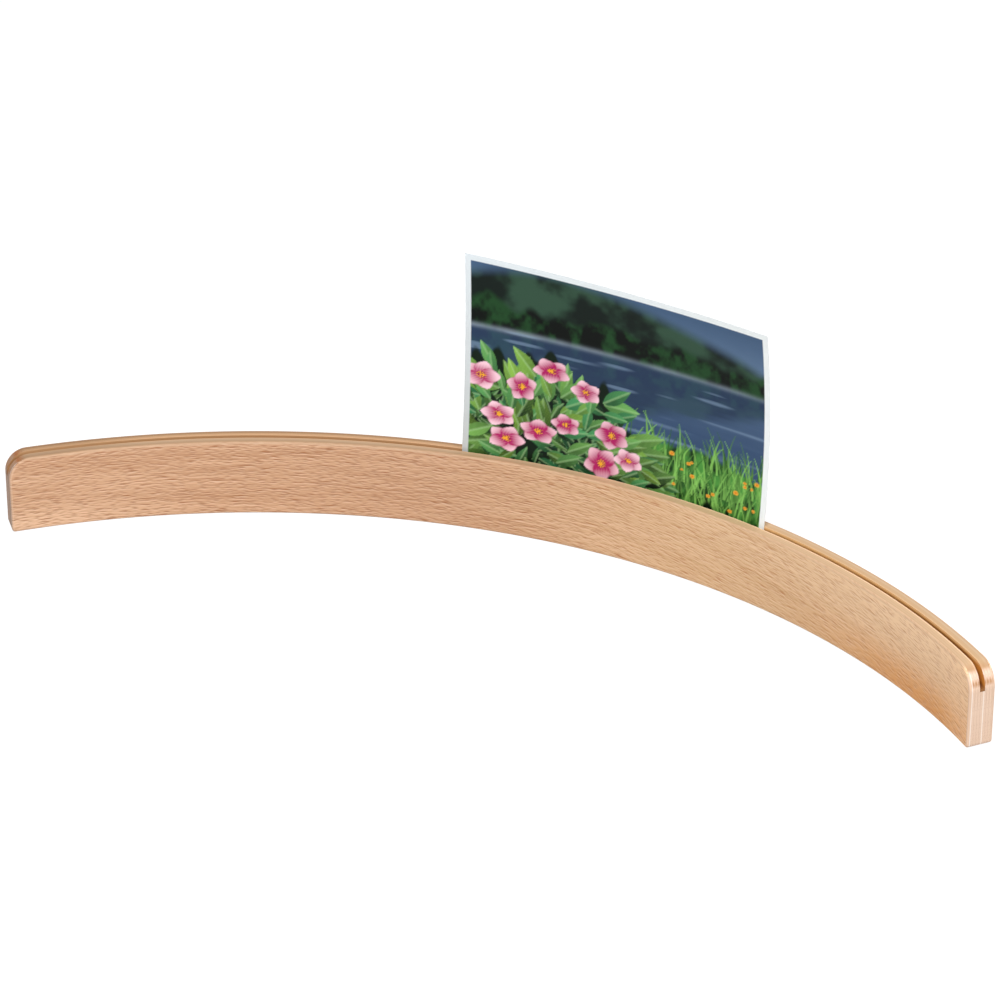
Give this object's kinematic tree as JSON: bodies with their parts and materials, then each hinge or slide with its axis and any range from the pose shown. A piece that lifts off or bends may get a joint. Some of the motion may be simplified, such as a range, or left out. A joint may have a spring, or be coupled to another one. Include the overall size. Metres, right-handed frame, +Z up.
{
  "type": "curved photo rail",
  "caption": "Curved strip of bent laminated beech standing on its long edge, with a narrow slot along its top edge that holds a photo print upright; the print slides along the curve.",
  "frame": {"origin": "on the resting surface, under the middle of the rail's length and halfway through its thickness", "axes": "+X along the rail's chord, to the right for someone who looks into the hollow side; +Y away from that person, towards the bulging back; +Z up"},
  "size_m": [0.4664, 0.104, 0.131],
  "materials": {
    "beech_face_veneer": "rotary-cut steamed beech, clear matt lacquer",
    "beech_core_veneer": "sanded veneer edges, clear matt lacquer",
    "photo_paper": "glossy photo print with a white border"
  },
  "bodies": {
    "rail": {"front_face_veneer": "beech_face_veneer", "core_veneer_1": "beech_core_veneer", "core_veneer_2": "beech_core_veneer", "core_veneer_3": "beech_core_veneer", "core_veneer_4": "beech_core_veneer", "core_veneer_5": "beech_core_veneer", "core_veneer_6": "beech_core_veneer", "core_veneer_7": "beech_core_veneer", "back_face_veneer": "beech_face_veneer"},
    "print": {"photo_print": "photo_paper"}
  },
  "joints": [
    {"name": "print_slide", "type": "hinge", "parent": "rail", "child": "print", "pos_m": [0, -0.32808, 0], "axis": [0, 0, -1], "range_deg": [-35, 25]}
  ]
}
